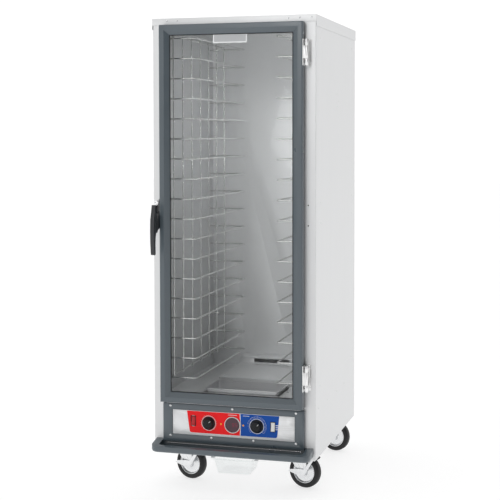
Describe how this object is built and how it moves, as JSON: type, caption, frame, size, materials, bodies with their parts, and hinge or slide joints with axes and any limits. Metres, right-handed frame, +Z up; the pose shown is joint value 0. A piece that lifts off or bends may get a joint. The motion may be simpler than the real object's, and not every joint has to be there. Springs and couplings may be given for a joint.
{
  "type": "proofing cabinet",
  "caption": "Tall mobile proofing cabinet with a clear hinged door, wire pan slides, a heat and humidity module in its base, a drip trough, a condensate pan and swivel casters.",
  "frame": {"origin": "on the floor, at the centre of the whole object's footprint with the door closed", "axes": "+Z up, -Y out of the door, +X towards the hinge side"},
  "size_m": [0.6366, 0.8442, 1.769],
  "materials": {
    "aluminium": "satin rolled sheet",
    "inner_aluminium": "satin rolled sheet",
    "steel": "brushed",
    "zinc": "bright zinc plate",
    "nickel_wire": "bright nickel plate",
    "chrome": "polished",
    "grey_plastic": "fine matt grain",
    "dark_plastic": "matt",
    "label": "printed satin foil",
    "red_plastic": "gloss",
    "white_plastic": "gloss",
    "amber_lens": "clear tinted lens",
    "display": "dark tinted window in a white ring",
    "window": "clear acrylic",
    "clear_plastic": "clear moulded polycarbonate",
    "rubber": "matt",
    "tyre_rubber": "semi-matt",
    "element": "heat-darkened"
  },
  "bodies": {
    "cabinet": {"left_side_panel": "aluminium", "right_side_panel": "aluminium", "rear_panel": "aluminium", "top_panel": "aluminium", "header_channel": "aluminium", "cavity_floor": "inner_aluminium", "left_chassis_rail": "steel", "right_chassis_rail": "steel", "air_duct": "inner_aluminium", "left_wire_rack": "nickel_wire", "right_wire_rack": "nickel_wire", "module_housing": "steel", "control_panel": "grey_plastic", "label_plate": "label", "heating_light": "amber_lens", "humidity_light": "amber_lens", "thermometer": "display", "heating_element": "element", "blower_housing": "steel", "power_inlet": "dark_plastic", "upper_hinge_cabinet_leaf": "chrome", "lower_hinge_cabinet_leaf": "chrome", "latch_strike": "chrome", "drip_trough": "grey_plastic", "pan_bracket": "steel", "front_left_caster_plate": "zinc", "front_right_caster_plate": "zinc", "rear_left_caster_plate": "zinc", "rear_right_caster_plate": "zinc"},
    "door": {"door_left_stile": "grey_plastic", "door_right_stile": "grey_plastic", "door_bottom_rail": "grey_plastic", "door_top_rail": "grey_plastic", "door_window": "window", "door_gasket": "rubber", "upper_hinge_door_leaf": "chrome", "lower_hinge_door_leaf": "chrome", "latch_housing": "dark_plastic"},
    "latch_lever": {"latch_lever": "dark_plastic"},
    "thermostat_knob": {"thermostat_knob": "dark_plastic"},
    "humidity_knob": {"humidity_knob": "dark_plastic"},
    "power_rocker": {"power_rocker": "red_plastic"},
    "mode_rocker": {"mode_rocker": "white_plastic"},
    "water_pan": {"water_pan": "steel"},
    "condensate_pan": {"condensate_pan": "clear_plastic"},
    "blower_wheel": {"blower_wheel": "dark_plastic"},
    "front_left_swivel": {"front_left_caster_fork": "zinc"},
    "front_left_wheel": {"front_left_caster_rim": "zinc", "front_left_caster_tyre": "tyre_rubber"},
    "front_left_brake": {"front_left_brake_lever": "zinc"},
    "front_right_swivel": {"front_right_caster_fork": "zinc"},
    "front_right_wheel": {"front_right_caster_rim": "zinc", "front_right_caster_tyre": "tyre_rubber"},
    "front_right_brake": {"front_right_brake_lever": "zinc"},
    "rear_left_swivel": {"rear_left_caster_fork": "zinc"},
    "rear_left_wheel": {"rear_left_caster_rim": "zinc", "rear_left_caster_tyre": "tyre_rubber"},
    "rear_right_swivel": {"rear_right_caster_fork": "zinc"},
    "rear_right_wheel": {"rear_right_caster_rim": "zinc", "rear_right_caster_tyre": "tyre_rubber"}
  },
  "joints": [
    {"name": "door_hinge", "type": "hinge", "parent": "cabinet", "child": "door", "pos_m": [0.2875, -0.35315, 1.03], "axis": [0, 0, 1], "range_deg": [0, 180]},
    {"name": "latch_pivot", "type": "hinge", "parent": "door", "child": "latch_lever", "pos_m": [-0.2866, -0.37515, 0.997], "axis": [-1, 0, 0], "range_deg": [0, 18], "stiffness_Nm_per_rad": 0.5, "springref_deg": -11.46},
    {"name": "thermostat_turn", "type": "hinge", "parent": "cabinet", "child": "thermostat_knob", "pos_m": [-0.093, -0.3404, 0.2455], "axis": [0, 1, 0], "range_deg": [-180, 90]},
    {"name": "humidity_turn", "type": "hinge", "parent": "cabinet", "child": "humidity_knob", "pos_m": [0.095, -0.3404, 0.2455], "axis": [0, 1, 0], "range_deg": [-180, 90]},
    {"name": "power_switch", "type": "hinge", "parent": "cabinet", "child": "power_rocker", "pos_m": [-0.154, -0.33745, 0.2505], "axis": [1, 0, 0], "range_deg": [0, 14]},
    {"name": "mode_switch", "type": "hinge", "parent": "cabinet", "child": "mode_rocker", "pos_m": [0.157, -0.33745, 0.2465], "axis": [1, 0, 0], "range_deg": [0, 14]},
    {"name": "water_pan_lift", "type": "slide", "parent": "cabinet", "child": "water_pan", "axis": [0, 0, 1], "range_m": [0, 0.05]},
    {"name": "condensate_pan_slide", "type": "slide", "parent": "cabinet", "child": "condensate_pan", "axis": [0, -1, 0], "range_m": [0, 0.16]},
    {"name": "blower_spin", "type": "hinge", "parent": "cabinet", "child": "blower_wheel", "pos_m": [0, 0.14785, 0.2], "axis": [0, 0, 1], "continuous": true},
    {"name": "front_left_swivel_turn", "type": "hinge", "parent": "cabinet", "child": "front_left_swivel", "pos_m": [-0.226, -0.22815, 0.15], "axis": [0, 0, 1], "continuous": true},
    {"name": "front_left_wheel_spin", "type": "hinge", "parent": "front_left_swivel", "child": "front_left_wheel", "pos_m": [-0.19587, -0.23544, 0.0625], "axis": [0.2351, 0.972, 0], "continuous": true},
    {"name": "front_left_brake_press", "type": "hinge", "parent": "front_left_swivel", "child": "front_left_brake", "pos_m": [-0.19587, -0.23544, 0.0625], "axis": [0.2351, 0.972, 0], "range_deg": [0, 12]},
    {"name": "front_right_swivel_turn", "type": "hinge", "parent": "cabinet", "child": "front_right_swivel", "pos_m": [0.226, -0.22815, 0.15], "axis": [0, 0, 1], "continuous": true},
    {"name": "front_right_wheel_spin", "type": "hinge", "parent": "front_right_swivel", "child": "front_right_wheel", "pos_m": [0.25613, -0.23544, 0.0625], "axis": [0.2351, 0.972, 0], "continuous": true},
    {"name": "front_right_brake_press", "type": "hinge", "parent": "front_right_swivel", "child": "front_right_brake", "pos_m": [0.25613, -0.23544, 0.0625], "axis": [0.2351, 0.972, 0], "range_deg": [0, 12]},
    {"name": "rear_left_swivel_turn", "type": "hinge", "parent": "cabinet", "child": "rear_left_swivel", "pos_m": [-0.226, 0.32585, 0.15], "axis": [0, 0, 1], "continuous": true},
    {"name": "rear_left_wheel_spin", "type": "hinge", "parent": "rear_left_swivel", "child": "rear_left_wheel", "pos_m": [-0.19587, 0.31856, 0.0625], "axis": [0.2351, 0.972, 0], "continuous": true},
    {"name": "rear_right_swivel_turn", "type": "hinge", "parent": "cabinet", "child": "rear_right_swivel", "pos_m": [0.226, 0.32585, 0.15], "axis": [0, 0, 1], "continuous": true},
    {"name": "rear_right_wheel_spin", "type": "hinge", "parent": "rear_right_swivel", "child": "rear_right_wheel", "pos_m": [0.25613, 0.31856, 0.0625], "axis": [0.2351, 0.972, 0], "continuous": true}
  ]
}
